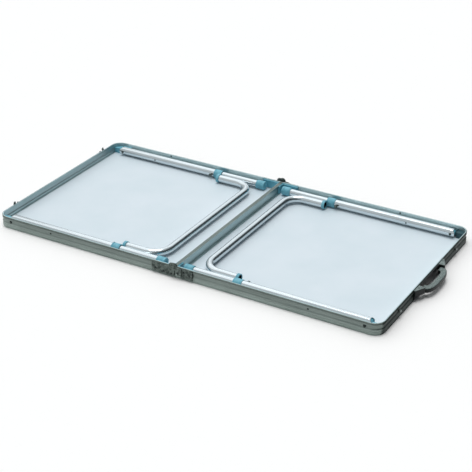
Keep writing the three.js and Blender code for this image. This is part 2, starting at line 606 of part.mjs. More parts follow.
function makeHandleGrip() {
  const half = GRIP_LENGTH / 2;
  const outer = HALF_LENGTH + GRIP_REACH;
  // the outline runs round the outside, then back along the finger gap
  const outline = [...bowed(half, outer, GRIP_BOW),
    ...bowed(half - GRIP_ARM, outer - GRIP_WIDTH, GAP_BOW).reverse()];
  const shape = new THREE.Shape(outline.map(([x, y]) => new THREE.Vector2(x, y)));
  const bar = new THREE.ExtrudeGeometry(shape, {
    depth: GRIP_THICKNESS - 2 * GRIP_BEVEL,
    bevelThickness: GRIP_BEVEL,
    bevelSize: GRIP_BEVEL,
    bevelOffset: -GRIP_BEVEL,
    bevelSegments: 1,
  }).translate(0, 0, GRIP_Z - GRIP_THICKNESS / 2 + GRIP_BEVEL);
  const trunnions = [1, -1].map((side) => rod('y', TRUNNION, side * (half - 4),
    side * (LUG_FACE + TRUNNION_LENGTH), { x: GRIP_PIVOT, z: GRIP_Z }));
  return toGeometry(join(bar, ...trunnions));
}

// ---------------------------------------------------------------- assembly
function addMesh(group, name, geometry, finish) {
  const mesh = new THREE.Mesh(geometry, new THREE.MeshStandardMaterial(finish));
  mesh.name = name;
  group.add(mesh);
}

function makeHalf(hand) {
  const half = new THREE.Group();
  const set = LEG_SETS[hand];
  addMesh(half, `rim_${hand}`, makeRim(), ALUMINIUM);
  addMesh(half, `board_${hand}`, makeBoard(), BOARD_FINISH);
  addMesh(half, `seam_rail_${hand}`, makeSeamRail(), ALUMINIUM);
  addMesh(half, `leg_brace_${hand}`, makeBrace(set), TUBE_FINISH);
  for (const side of [1, -1]) {
    const far = hand === 'right' ? side > 0 : side < 0;
    const place = `${hand}_${far ? 'far' : 'near'}`;
    addMesh(half, `seam_connector_${place}`, makeSeamConnector(side), TEAL_PLASTIC);
    addMesh(half, `leg_bracket_${place}`, makeLegBracket(side), TEAL_PLASTIC);
    addMesh(half, `pivot_pin_${place}`, makePivotPin(side), STEEL);
    addMesh(half, `outer_tube_${place}`, makeOuterTube(side, set), TUBE_FINISH);
    addMesh(half, `tube_plug_${place}`, makeTubePlug(side), TEAL_PLASTIC);
    addMesh(half, `collar_${place}`, makeCollar(side, set), TEAL_PLASTIC);
    addMesh(half, `extension_tube_${place}`, makeExtensionTube(side, set), TUBE_FINISH);
    addMesh(half, `foot_cap_${place}`, makeFootCap(side, set), TEAL_PLASTIC);
    addMesh(half, `lock_knob_${place}`, makeLockKnob(side, set), STEEL);
    const hingePlate = hand === 'left' ? makeInnerHingePlate(side) : makeOuterHingePlate(side);
    addMesh(half, `hinge_plate_${place}`, hingePlate, STEEL);
    if (hand === 'left') {
      addMesh(half, `hinge_pin_${far ? 'far' : 'near'}`, makeHingePin(side), STEEL);
      addMesh(half, `latch_arm_${far ? 'far' : 'near'}`, makeLatchArm(side), BLACK_PLASTIC);
      addMesh(half, `latch_pivot_${far ? 'far' : 'near'}`, makeStud(side), STEEL);
    } else {
      addMesh(half, `catch_stud_${far ? 'far' : 'near'}`, makeStud(side), STEEL);
    }
  }
  if (hand === 'left') half.rotation.z = Math.PI;
  return half;
}

const table = new THREE.Group();
table.add(makeHalf('left'));
const right = makeHalf('right');
addMesh(right, 'handle_base', makeHandleBase(), BLACK_PLASTIC);
addMesh(right, 'handle_grip', makeHandleGrip(), BLACK_PLASTIC);
table.add(right);
// the origin is the middle of the whole table's footprint, handle and latches included
table.position.x = (FASTENER_END - (HALF_LENGTH + GRIP_REACH)) / 2;

export default table;
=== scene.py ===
import math

import bmesh
import bpy
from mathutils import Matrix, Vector


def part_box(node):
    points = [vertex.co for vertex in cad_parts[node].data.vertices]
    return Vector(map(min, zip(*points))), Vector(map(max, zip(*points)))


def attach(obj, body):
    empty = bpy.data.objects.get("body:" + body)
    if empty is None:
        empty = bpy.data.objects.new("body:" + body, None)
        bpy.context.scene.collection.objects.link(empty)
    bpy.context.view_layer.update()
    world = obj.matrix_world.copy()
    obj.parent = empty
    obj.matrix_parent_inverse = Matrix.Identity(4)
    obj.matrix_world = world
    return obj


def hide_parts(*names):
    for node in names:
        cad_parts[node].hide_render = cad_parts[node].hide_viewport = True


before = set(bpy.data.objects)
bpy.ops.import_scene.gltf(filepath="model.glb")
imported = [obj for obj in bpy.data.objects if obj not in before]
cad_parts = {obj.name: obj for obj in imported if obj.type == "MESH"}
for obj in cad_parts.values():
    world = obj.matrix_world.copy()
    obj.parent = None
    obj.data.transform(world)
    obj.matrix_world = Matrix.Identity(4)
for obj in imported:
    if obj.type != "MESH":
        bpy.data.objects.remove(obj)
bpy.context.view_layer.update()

# ---------------------------------------------------------------- the two bent rims
# Each tray's wall is one length of extruded aluminium, bent round two corners and satin
# anodised. It has a rolled bead on top, a deep groove where the rivets sit, and a slot that
# holds the board.
MM = 0.001
HANDS = {"left": -1, "right": 1}  # the way from the seam to a half's outer end
SIDES = {"near": -1, "far": 1}
seam_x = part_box("rim_right")[0].x
FOLD_X = (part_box("rim_left")[1].x + seam_x) / 2
SEAM = seam_x - FOLD_X  # this, RIM_END and PIN_X are distances out from the fold line
RIM_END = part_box("rim_right")[1].x - FOLD_X
PIN_X = sum(corner.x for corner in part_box("pivot_pin_right_near")) / 2 - FOLD_X
LEG_Z = sum(corner.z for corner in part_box("pivot_pin_right_near")) / 2  # the folded tubes' axes
RIM_SIDE, RIM_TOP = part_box("rim_right")[1].yz
RIM_CORNER = 32 * MM
GROOVE, WALL = 2.6 * MM, 4.2 * MM  # how deep the rivet groove is, and how thick the upper wall


def arc(centre, radius, start, end, steps):
    """Points on a circle from start to end, in degrees."""
    turns = [math.radians(start + (end - start) * i / steps) for i in range(steps + 1)]
    return [(centre[0] + radius * math.cos(a), centre[1] + radius * math.sin(a)) for a in turns]


def make_piece(name, shape):
    """Turns a bmesh into an object at the origin, with its faces pointing outwards."""
    bmesh.ops.recalc_face_normals(shape, faces=shape.faces)
    mesh = bpy.data.meshes.new(name)
    shape.to_mesh(mesh)
    shape.free()
    piece = bpy.data.objects.new(name, mesh)
    bpy.context.collection.objects.link(piece)
    return piece


def shade(piece):
    """Smooth shading, broken where two faces meet at a sharp angle."""
    sharp = math.radians(32)
    shape = bmesh.new()
    shape.from_mesh(piece.data)
    for face in shape.faces:
        face.smooth = True
    for edge in shape.edges:
        edge.smooth = len(edge.link_faces) == 2 and edge.calc_face_angle() < sharp
    shape.to_mesh(piece.data)
    shape.free()


def dress(piece, material, body, slot, *nodes):
    """Gives a finished piece its body, in place of the solids that it stands for, and its
    material, unless it already has its own. The slot is not used."""
    shade(piece)
    if material:
        piece.data.materials.clear()
        piece.data.materials.append(material)
    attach(piece, body)
    if nodes:
        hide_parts(*nodes)


def linear(code):
    """An sRGB hex colour as linear RGBA."""
    parts = [int(code[i:i + 2], 16) / 255 for i in (1, 3, 5)]
    return (*[p / 12.92 if p <= 0.04045 else ((p + 0.055) / 1.055) ** 2.4 for p in parts], 1)


def add_node(tree, kind, inputs, **settings):
    """Adds a node with its settings; an input is a value, or a socket to link from."""
    made = tree.nodes.new(kind)
    for name, value in settings.items():
        setattr(made, name, value)
    for name, value in inputs.items():
        if isinstance(value, bpy.types.NodeSocket):
            tree.links.new(value, made.inputs[name])
        else:
            made.inputs[name].default_value = value
    return made


def new_material(name):
    """An empty material, its node tree, and the Object coordinates that its patterns read."""
    material = bpy.data.materials.new(name)
    material.use_nodes = True
    tree = material.node_tree
    tree.nodes.clear()
    return material, tree, add_node(tree, "ShaderNodeTexCoord", {}).outputs["Object"]


def two_tones(tree, factor, dark, light, low=0.35, high=0.65):
    """A pattern turned to a blend of two hex colours, between two of its levels."""
    ramp = add_node(tree, "ShaderNodeValToRGB", {"Fac": factor})
    for stop, level, code in zip(ramp.color_ramp.elements, (low, high), (dark, light)):
        stop.position = level
        stop.color = linear(code)
    return ramp.outputs["Color"]


def finish_material(tree, colour, roughness, bump, bump_depth, **inputs):
    """Closes a material with the shader, its roughness and a bump of a real depth in metres."""
    relief = add_node(tree, "ShaderNodeBump", {"Height": bump, "Distance": bump_depth})
    sockets = {"Base Color": colour, "Roughness": roughness, "Normal": relief.outputs["Normal"]}
    shader = add_node(tree, "ShaderNodeBsdfPrincipled", {**sockets, **inputs})
    add_node(tree, "ShaderNodeOutputMaterial", {"Surface": shader.outputs["BSDF"]})


def noise(tree, coordinates, scale, detail=3.0, stretch=(1, 1, 1)):
    """Noise whose grains are 1/scale metres, drawn out where stretch is under 1."""
    placed = add_node(tree, "ShaderNodeMapping", {"Vector": coordinates, "Scale": stretch})
    made = add_node(tree, "ShaderNodeTexNoise",
                    {"Vector": placed.outputs["Vector"], "Scale": scale, "Detail": detail})
    return made.outputs["Fac"]


def anodised(name, dark, light, smooth, rough, metallic, upper_shade, end_shade):
    """Extruded aluminium: draw lines along the bar 1 mm apart, cloudy handling marks, and a
    share of painted shade that darkens it towards its top and on the outer faces of the two ends."""
    material, tree, place = new_material(name)
    draw_lines = noise(tree, place, scale=900, stretch=(0.01, 0.01, 1))
    handling = noise(tree, place, scale=18)
    tone = add_node(tree, "ShaderNodeMix",
                    {"Factor": 0.3, "A": two_tones(tree, draw_lines, dark, light),
                     "B": two_tones(tree, handling, dark, light)}, data_type="RGBA")
    axes = add_node(tree, "ShaderNodeSeparateXYZ", {"Vector": place}).outputs
    # painted shade: it thickens with height, and over the last millimetres of either end
    upper = add_node(tree, "ShaderNodeMapRange", {"Value": axes["Z"], "From Min": 6 * MM,
                                                  "From Max": 30 * MM, "To Max": upper_shade})
    outward = add_node(tree, "ShaderNodeMath", {0: axes["X"], 1: FOLD_X}, operation="SUBTRACT")
    outward = add_node(tree, "ShaderNodeMath", {0: outward.outputs["Value"]},
                       operation="ABSOLUTE")
    ends = add_node(tree, "ShaderNodeMapRange",
                    {"Value": outward.outputs["Value"], "From Min": RIM_END - 7 * MM,
                     "From Max": RIM_END - 2.8 * MM, "To Max": end_shade})
    shade_share = add_node(tree, "ShaderNodeMath", {0: upper.outputs["Result"],
                                             1: ends.outputs["Result"]}, operation="MAXIMUM")
    shade_colour = two_tones(tree, ends.outputs["Result"], "#4d5351", "#2e3836", low=0.2, high=0.9)
    shaded = add_node(tree, "ShaderNodeMix", {"Factor": shade_share.outputs["Value"],
                                             "A": tone.outputs["Result"], "B": shade_colour},
                     data_type="RGBA")
    polish = add_node(tree, "ShaderNodeMapRange",
                      {"Value": handling, "To Min": smooth, "To Max": rough})
    finish_material(tree, shaded.outputs["Result"], polish.outputs["Result"], draw_lines,
                    bump_depth=0.04 * MM, Metallic=metallic)
    return material


# The inside of the extrusion takes a lighter, slightly blue copy of the satin grey: painted light.
# The outer face takes a darker and rougher copy: painted shade, which deepens towards the top,
# and most of all on the two ends.
rim_aluminium = anodised("satin_anodised_aluminium", "#a4b9ba", "#c0d4d7", smooth=0.32,
                         rough=0.45, metallic=0.85, upper_shade=0.0, end_shade=0.0)
shaded_aluminium = anodised("scuffed_anodised_aluminium", "#85928d", "#a7b5b0", smooth=0.4,
                             rough=0.55, metallic=0.7, upper_shade=0.5, end_shade=0.95)

# distance in from the outer face and height, in millimetres: bead, groove, band, recess, lower
# band with a fine groove, undercut foot, the two flanges of the board slot, and the inner face
TOP = RIM_TOP / MM
RIM_PROFILE = [
    *arc((1.5, TOP - 1.5), 1.5, 90, 215, 6), (1.6, TOP - 2.9), (1.6, TOP - 3.8),
    (0.3, TOP - 4.7), (0, TOP - 5.2), (0, 26.8), (0.5, 25.8), (2.3, 24.8), (2.6, 24.3),
    (2.6, 18.9), (2.4, 18.4), (0.4, 15.8), (0.1, 15.2),
    (0.1, 14.6), (0.9, 14.2), (0.9, 11.4), (0.2, 8.9), (0, 8.3), (0, 6.0), (0.4, 5.2),
    (1.4, 4.4), (1.4, 2.7), (0.6, 2.0), (0.5, 1.1), (1.2, 0),
    (8.6, 0), (9, 0.4), (9, 1.3), (8.6, 1.7), (3.3, 1.7), (3.3, 7.8), (8.6, 7.8), (9, 8.2),
    (9, 9.2), (8.6, 9.6), (6.2, 9.6), (6.2, 16.8), (5.9, 17.4), (4.5, 18.4), (4.2, 19.0),
    *arc((3.0, TOP - 1.2), 1.2, 0, 90, 4),
]
INNER_FACE = range(30, len(RIM_PROFILE))  # the profile's sides from the foot up to the top


def half_point(hand, x, y, z=0.0):
    """A place on one half: x out from the fold line, y across. The left half is the right one
    turned about."""
    return Vector((FOLD_X + HANDS[hand] * x, HANDS[hand] * y, z))


def swept(name, profile, stations, second_material):
    """A closed profile of (inward, up) pairs carried along stations of (place, inward direction).
    The profile's sides whose numbers are in second_material take the piece's second one."""
    shape = bmesh.new()
    rings = [[shape.verts.new(at + inward * d + Vector((0, 0, z))) for d, z in profile]
             for at, inward in stations]
    for here, there in zip(rings, rings[1:]):
        for i in range(len(profile)):
            j = (i + 1) % len(profile)
            face = shape.faces.new((here[i], here[j], there[j], there[i]))
            face.material_index = int(i in second_material)
    shape.faces.new(rings[0])
    shape.faces.new(rings[-1])
    return make_piece(name, shape)


def rod(radius, length):
    """The outline of a plain rod or drill, for turning."""
    return [(0, 0), (0, radius), (length, radius), (length, 0)]


def turned(name, profile, start, direction, sides=48, ring=False, flutes=(0, 0.0)):
    """A turned piece: (along, radius) pairs in metres, spun about an axis. A ring's outline
    closes on itself, and flutes are (number, depth)."""
    shape = bmesh.new()
    along = Vector(direction).normalized()
    across = along.orthogonal().normalized()
    up = along.cross(across)
    rows = []
    for distance, radius in profile:
        centre = Vector(start) + along * distance
        if radius == 0:
            rows.append([shape.verts.new(centre)])
            continue
        row = []
        for i in range(sides):
            a = 2 * math.pi * i / sides
            r = radius - flutes[1] * (0.5 + 0.5 * math.cos(a * flutes[0])) if flutes[0] else radius
            row.append(shape.verts.new(centre + (across * math.cos(a) + up * math.sin(a)) * r))
        rows.append(row)
    for low, high in zip(rows, rows[1:] + rows[:1] if ring else rows[1:]):
        for i in range(sides):
            j = (i + 1) % sides
            corners = (low[i % len(low)], low[j % len(low)],
                       high[j % len(high)], high[i % len(high)])
            shape.faces.new(dict.fromkeys(corners))
    return make_piece(name, shape)


def settle(piece):
    """Turns a piece with its modifiers into a plain mesh."""
    evaluated = piece.evaluated_get(bpy.context.evaluated_depsgraph_get())
    result = bpy.data.meshes.new_from_object(evaluated)
    piece.modifiers.clear()
    piece.data = result


def combine(piece, other, operation):
    """Joins a closed piece to another or cuts it by it; the other is used up."""
    step = piece.modifiers.new("combine", "BOOLEAN")
    step.operation = operation
    step.object = other
    settle(piece)
    bpy.data.objects.remove(other)


for hand, way in HANDS.items():
    stations = [(half_point(hand, SEAM, -RIM_SIDE), Vector((0, way, 0)))]
    for side, start in ((-1, -90), (1, 0)):
        middle = half_point(hand, RIM_END - RIM_CORNER, side * (RIM_SIDE - RIM_CORNER))
        for x, y in arc((0, 0), 1, start, start + 90, steps=16):
            outward = Vector((x, y, 0)) * way
            stations.append((middle + outward * RIM_CORNER, -outward))
    stations.append((half_point(hand, SEAM, RIM_SIDE), Vector((0, -way, 0))))
    rim = swept(f"bent_rim_{hand}", [(d * MM, z * MM) for d, z in RIM_PROFILE], stations,
                INNER_FACE)
    # the outer sides take the darker copy with its painted shade, the inner sides the lighter one
    rim.data.materials.append(shaded_aluminium)
    rim.data.materials.append(rim_aluminium)
    for side in SIDES.values():
        # the pivot pins' heads lie in round pockets in the outer groove
        pocket_start = half_point(hand, PIN_X, side * (RIM_SIDE - GROOVE), LEG_Z)
        pocket = turned("pocket", rod(radius=5 * MM, length=4 * MM), pocket_start,
                        (0, side * way, 0), sides=32)
        combine(rim, pocket, "DIFFERENCE")
    dress(rim, None, f"{hand}_half", "rim_aluminium", f"rim_{hand}")

# ---------------------------------------------------------------- the two boards
# The halves of the table top: thin fibreboard faced on both sides with a pale melamine
# laminate, slid into the rims' slots. They stay flat, so the solids only get their finish.


def repaint(node, material):
    """A solid whose shape is right keeps it, and gets a material."""
    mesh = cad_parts[node].data
    mesh.materials.clear()
    mesh.materials.append(material)


# Melamine laminate, pressed: a cool white with very faint clouds a hand's width across and a
# fine orange-peel texture, drawn at 3 mm so that it shows.
laminate, tree, place = new_material("pale_melamine_laminate")
clouds = noise(tree, place, scale=7)
peel = noise(tree, place, scale=330, detail=1.0)
pale = two_tones(tree, clouds, "#d1dee5", "#d7e2e9")
gloss = add_node(tree, "ShaderNodeMapRange", {"Value": clouds, "To Min": 0.36, "To Max": 0.46})
finish_material(tree, pale, gloss.outputs["Result"], peel, bump_depth=0.06 * MM, IOR=1.5)
for hand in HANDS:
    repaint(f"board_{hand}", laminate)

# ---------------------------------------------------------------- seam rails and connectors
# A straight aluminium rail closes each tray along the seam. A moulded nylon corner at each of
# its ends ties it to the long wall. Their edges are broken as on a cut and tumbled part.
SHADED_LIP = 0.5 * MM  # how far down a rail's lips take the darker copy, a painted shade


def softened(node, name, width, segments=2):
    """A copy of a solid with its triangles joined to flat faces and its edges rounded."""
    shape = bmesh.new()
    shape.from_mesh(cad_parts[node].data)
    bmesh.ops.remove_doubles(shape, verts=shape.verts, dist=0.01 * MM)
    bmesh.ops.dissolve_limit(shape, angle_limit=math.radians(1), verts=shape.verts,
                             edges=shape.edges)
    piece = make_piece(name, shape)
    round_edges(piece, width, segments)
    return piece


def round_edges(piece, width, segments=2):
    """Rounds every edge that turns by more than 30 degrees."""
    bevel = piece.modifiers.new("rounded_edges", "BEVEL")
    bevel.width = width
    bevel.segments = segments
    bevel.limit_method = "ANGLE"
    bevel.angle_limit = math.radians(30)
    bevel.harden_normals = True


def finish_by_face(piece, first, second, is_second):
    """Gives a piece two materials: the second goes where the test of a face's centre is met."""
    piece.data.materials.clear()
    piece.data.materials.append(first)
    piece.data.materials.append(second)
    for face in piece.data.polygons:
        face.material_index = int(is_second(face.center))


def nylon(name, dark, light):
    """Glass-filled nylon in one hue: a soft sheen, fine mould grain drawn at 0.8 mm, and
    slightly paler where the melt flowed."""
    material, tree, place = new_material(name)
    flow = noise(tree, place, scale=45)
    grain = noise(tree, place, scale=1200, detail=1.0)
    tone = two_tones(tree, flow, dark, light, low=0.3, high=0.7)
    sheen = add_node(tree, "ShaderNodeMapRange", {"Value": flow, "To Min": 0.38, "To Max": 0.52})
    finish_material(tree, tone, sheen.outputs["Result"], grain, bump_depth=0.08 * MM, IOR=1.53)
    return material


# Glass-filled nylon, injection moulded: teal, with a soft sheen. The far right leg bracket takes
# a much darker teal, painted shade for that corner.
teal_nylon = nylon("teal_moulded_nylon", "#5ca2b5", "#78bed0")
shaded_nylon = nylon("dark_teal_moulded_nylon", "#0b3a42", "#174a53")

for hand in HANDS:
    rail = softened(f"seam_rail_{hand}", f"seam_rail_profile_{hand}", width=0.4 * MM)
    # the top of each lip takes the darker aluminium: painted shade
    finish_by_face(rail, rim_aluminium, shaded_aluminium,
                   lambda centre: centre.z > RIM_TOP - SHADED_LIP)
    dress(rail, None, f"{hand}_half", "rim_aluminium", f"seam_rail_{hand}")
    for side in SIDES:
        node = f"seam_connector_{hand}_{side}"
        connector = softened(node, f"moulded_{node}", width=0.6 * MM)
        dress(connector, teal_nylon, f"{hand}_half", "teal_plastic", node)

# ---------------------------------------------------------------- leg brackets and pivot pins
# A moulded nylon bracket in each outer corner carries the pivot of one leg on its cheek, next to
# the long wall, and stops the upright leg. The pin is a turned, zinc-plated steel rivet, domed at
# both ends; its outer head is painted nearly black, as shade in the pocket that it sits in.
for hand in HANDS:
    for side in SIDES:
        node = f"leg_bracket_{hand}_{side}"
        bracket = softened(node, f"moulded_{node}", width=0.7 * MM)
        # the far right bracket gets the darker teal: painted shade
        moulding = shaded_nylon if (hand, side) == ("right", "far") else teal_nylon
        dress(bracket, moulding, f"{hand}_half", "teal_plastic", node)

# Zinc-plated steel, blanked or turned: a dull grey-green with a cloudy bloom in the zinc.
zinc_steel, tree, place = new_material("zinc_plated_steel")
bloom = noise(tree, place, scale=140, detail=4.0)
zinc = two_tones(tree, bloom, "#3c4441", "#6d7773")
dullness = add_node(tree, "ShaderNodeMapRange", {"Value": bloom, "To Min": 0.3, "To Max": 0.5})
finish_material(tree, zinc, dullness.outputs["Result"], bloom, bump_depth=0.03 * MM,
                Metallic=0.95)

# Blackened steel, oiled: nearly black with a faint bloom.
black_steel, tree, place = new_material("blackened_steel")
oil = noise(tree, place, scale=400)
soot = two_tones(tree, oil, "#1c2324", "#3b4241")
smoothness = add_node(tree, "ShaderNodeMapRange", {"Value": oil, "To Min": 0.3, "To Max": 0.45})
finish_material(tree, soot, smoothness.outputs["Result"], oil, bump_depth=0.01 * MM,
                Metallic=0.9)


def dome(foot, reach, radius, inner):
    """The outline of a domed head: from its rim at foot to the middle of its crown at reach."""
    crown = [(foot + (reach - foot) * math.sin(math.radians(a)),
              radius * math.cos(math.radians(a))) for a in (20, 45, 65, 80)]
    return [(foot, inner), (foot, radius), *crown, (reach, 0)]


def crosswise(node):
    """Where a crosswise solid begins, next to the middle of the table, and how long it is."""
    low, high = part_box(node)
    inner_end, outer_end = sorted((low.y, high.y), key=abs)
    return inner_end, abs(outer_end - inner_end)


PIN_RADIUS = 3 * MM
OUTER_HEAD_Y = RIM_SIDE - 6 * MM  # a pivot pin's outer head, painted dark as shade, lies beyond this
for hand, way in HANDS.items():
    for side, sign in SIDES.items():
        node = f"pivot_pin_{hand}_{side}"
        inner_end, length = crosswise(node)
        inner_head = dome(2.2 * MM, 0, radius=3.9 * MM, inner=PIN_RADIUS)[::-1]
        outer_head = dome(length - 2.0 * MM, length, radius=4.4 * MM, inner=PIN_RADIUS)
        start = (FOLD_X + way * PIN_X, inner_end, LEG_Z)
        pin = turned(f"rivet_{node}", inner_head + outer_head, start, (0, sign, 0), sides=32)
        # the outer head is painted nearly black: painted shade
        finish_by_face(pin, zinc_steel, black_steel, lambda centre: abs(centre.y) > OUTER_HEAD_Y)
        dress(pin, None, f"{hand}_half", "steel", node)

# ---------------------------------------------------------------- outer leg tubes
# Drawn aluminium tube, 24 mm across with a 1.2 mm wall, bright dipped. The pivot end is
# rounded off so that it can turn in its bracket, and a nylon plug inside it carries the pin.
TUBE_WALL = 1.2 * MM
TUBE_SIDES = 64


def middle_of(node):
    """The centre of a solid's box."""
    low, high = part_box(node)
    return (low + high) / 2


def ends_of(node, way):
    """The x of a solid's two ends, in the order in which they are met on going the given way."""
    low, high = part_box(node)
    return (low.x, high.x) if way > 0 else (high.x, low.x)


# Drawn aluminium, bright dipped: nearly a mirror, with hair lines along the tube 0.5 mm apart
# and faint smudges where hands hold it.
bright_aluminium, tree, place = new_material("bright_dipped_aluminium")
hair_lines = noise(tree, place, scale=1800, detail=2.0, stretch=(0.01, 1, 1))
smudges = noise(tree, place, scale=30)
silver = two_tones(tree, hair_lines, "#c9d4d9", "#e2e9ec", low=0.3, high=0.7)
wiped = add_node(tree, "ShaderNodeMapRange", {"Value": smudges, "To Min": 0.16, "To Max": 0.24})
finish_material(tree, silver, wiped.outputs["Result"], hair_lines, bump_depth=0.01 * MM,
                Metallic=1.0)

for hand, way in HANDS.items():
    for side in SIDES:
        node = f"outer_tube_{hand}_{side}"
        low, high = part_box(node)
        axis = middle_of(node)
        radius = (high.y - low.y) / 2
        bore = radius - TUBE_WALL
        mouth = ends_of(node, way)[0]
        pivot_x = FOLD_X + way * PIN_X
        shape = bmesh.new()
        rows = [[], [], [], []]
        for x, y in arc((0, 0), 1, 0, 360, steps=TUBE_SIDES)[:-1]:
            for row, r, at_mouth in ((0, radius, True), (1, radius, False),
                                     (2, bore, False), (3, bore, True)):
                rounded = pivot_x + way * math.sqrt(radius ** 2 - (y * r) ** 2)
                rows[row].append(shape.verts.new((mouth if at_mouth else rounded,
                                                  axis.y + x * r, axis.z + y * r)))
        for here, there in zip(rows, rows[1:] + rows[:1]):
            for i in range(TUBE_SIDES):
                j = (i + 1) % TUBE_SIDES
                shape.faces.new((here[i], here[j], there[j], there[i]))
        tube = make_piece(f"drawn_{node}", shape)
        dress(tube, bright_aluminium, f"leg_set_{hand}", "leg_tube", node)
        repaint(f"tube_plug_{hand}_{side}", teal_nylon)

# ---------------------------------------------------------------- collars
# A nylon collar is clamped on each outer tube's mouth and guides the extension tube. A shorter
# socket beside it, joined to it by a web, takes one end of the brace. The collar is flat
# underneath, just clear of the board.
COLLAR_RADIUS, COLLAR_LENGTH, COLLAR_LIP = 13.7 * MM, 26 * MM, 4 * MM
SOCKET_RADIUS, SOCKET_LENGTH, SOCKET_LEAD = 13.0 * MM, 9 * MM, 5 * MM
WEB_HALF_HEIGHT, WEB_INSET = 9 * MM, 0.5 * MM
LEG_RADIUS, SLIDE_RADIUS, BRACE_RADIUS = 12 * MM, 10.4 * MM, 11 * MM
PLAY, SLIDE_PLAY = 0.3 * MM, 0.4 * MM


def rolled(radius, edge, angles):
    """A turned outline's rounded end, at angles in degrees from its face to its full radius."""
    turns = [math.radians(a) for a in angles]
    return [(edge - edge * math.cos(a), radius - edge + edge * math.sin(a)) for a in turns]


def banded(radius, length, grooves=True):
    """The outline of a moulded sleeve with rolled ends, and a shallow groove behind each."""
    edge, groove = 0.9 * MM, 0.6 * MM
    side = [(0, radius - edge), *rolled(radius, edge, (30, 60, 90))]
    if grooves:
        side += [(3.2 * MM, radius), (3.6 * MM, radius - groove),
                 (4.8 * MM, radius - groove), (5.2 * MM, radius)]
    return [(0, 0), *side, *[(length - x, r) for x, r in reversed(side)], (length, 0)]


for hand, way in HANDS.items():
    brace_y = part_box(f"leg_brace_{hand}")[1].y - BRACE_RADIUS
    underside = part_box(f"board_{hand}")[1].z + PLAY
    forward = (way, 0, 0)
    for side, sign in SIDES.items():
        node = f"collar_{hand}_{side}"
        start = ends_of(node, way)[0] + way * SOCKET_LEAD
        leg = Vector((start, middle_of(f"outer_tube_{hand}_{side}").y, LEG_Z))
        brace = Vector((start - way * SOCKET_LEAD, sign * brace_y, LEG_Z))
        collar = turned(f"moulded_{node}", banded(COLLAR_RADIUS, COLLAR_LENGTH), leg, forward)
        socket_outline = banded(SOCKET_RADIUS, SOCKET_LENGTH, grooves=False)
        combine(collar, turned("socket", socket_outline, brace, forward), "UNION")
        web_shape = bmesh.new()
        bmesh.ops.create_cube(web_shape, size=1)
        web_low = Vector((start + way * WEB_INSET, brace.y, LEG_Z - WEB_HALF_HEIGHT))
        web_high = Vector((start + way * (SOCKET_LENGTH - SOCKET_LEAD - WEB_INSET), leg.y,
                           LEG_Z + WEB_HALF_HEIGHT))
        for corner in web_shape.verts:
            corner.co = [(a + b) / 2 + c * (b - a)
                         for a, b, c in zip(web_low, web_high, corner.co)]
        combine(collar, make_piece("web", web_shape), "UNION")
        for middle, radius, begin, length in (
                (leg, LEG_RADIUS + PLAY, COLLAR_LIP - PLAY, COLLAR_LENGTH),
                (leg, SLIDE_RADIUS + SLIDE_PLAY, -COLLAR_LIP, COLLAR_LENGTH),
                (brace, BRACE_RADIUS + PLAY, -COLLAR_LIP, COLLAR_LENGTH + 2 * COLLAR_LIP)):
            bore_start = middle + Vector(forward) * begin
            combine(collar, turned("bore", rod(radius, length), bore_start, forward), "DIFFERENCE")
        for corner in collar.data.vertices:
            corner.co.z = max(corner.co.z, underside)
        dress(collar, teal_nylon, f"leg_set_{hand}", "teal_plastic", node)

# ---------------------------------------------------------------- braces
# One length of the same bright tube, 22 mm across, bent to a U, joins the two legs of a set.
# Its path is two arms and a crossbar with equal bends, swept along a filleted line.
BRACE_BEND = 50 * MM
BRACE_BORE = 60 * MM  # how far in from its ends the solid sweep is bored out


def start_tree(name, *sizes):
    """A tree that takes a mesh, its sizes and a material; also gives the sockets of these."""
    tree = bpy.data.node_groups.new(name, "GeometryNodeTree")
    kinds = [("Geometry", "NodeSocketGeometry"), *[(size, "NodeSocketFloat") for size in sizes],
             ("Material", "NodeSocketMaterial")]
    for socket, kind in kinds:
        tree.interface.new_socket(socket, in_out="INPUT", socket_type=kind)
    tree.interface.new_socket("Geometry", in_out="OUTPUT", socket_type="NodeSocketGeometry")
    return tree, add_node(tree, "NodeGroupInput", {}).outputs


def end_tree(tree, geometry, material):
    """Makes what a tree has built real, gives it the material and hands it out."""
    real = add_node(tree, "GeometryNodeRealizeInstances", {"Geometry": geometry})
    painted = add_node(tree, "GeometryNodeSetMaterial",
                       {"Geometry": real.outputs["Geometry"], "Material": material})
    add_node(tree, "NodeGroupOutput", {"Geometry": painted.outputs["Geometry"]})


def grown(name, mesh, tree, **inputs):
    """Runs a node tree on a mesh and keeps the result as a plain mesh. Inputs are named as in
    the tree."""
    piece = bpy.data.objects.new(name, mesh)
    bpy.context.collection.objects.link(piece)
    step = piece.modifiers.new(name, "NODES")
    step.node_group = tree
    for item in tree.interface.items_tree:
        key = item.name.lower().replace(" ", "_")
        if item.in_out == "INPUT" and key in inputs:
            step[item.identifier] = inputs[key]
    settle(piece)
    return piece


brace_maker, given = start_tree("bent_tube", "Bend radius", "Tube radius")
line = add_node(brace_maker, "GeometryNodeMeshToCurve", {"Mesh": given["Geometry"]})
bends = add_node(brace_maker, "GeometryNodeFilletCurve",
                 {"Curve": line.outputs["Curve"], "Radius": given["Bend radius"], "Count": 20},
                 mode="POLY")
section = add_node(brace_maker, "GeometryNodeCurvePrimitiveCircle",
                   {"Radius": given["Tube radius"], "Resolution": 48})
skin = add_node(brace_maker, "GeometryNodeCurveToMesh",
                {"Curve": bends.outputs["Curve"], "Profile Curve": section.outputs["Curve"],
                 "Fill Caps": True})
end_tree(brace_maker, skin.outputs["Mesh"], given["Material"])

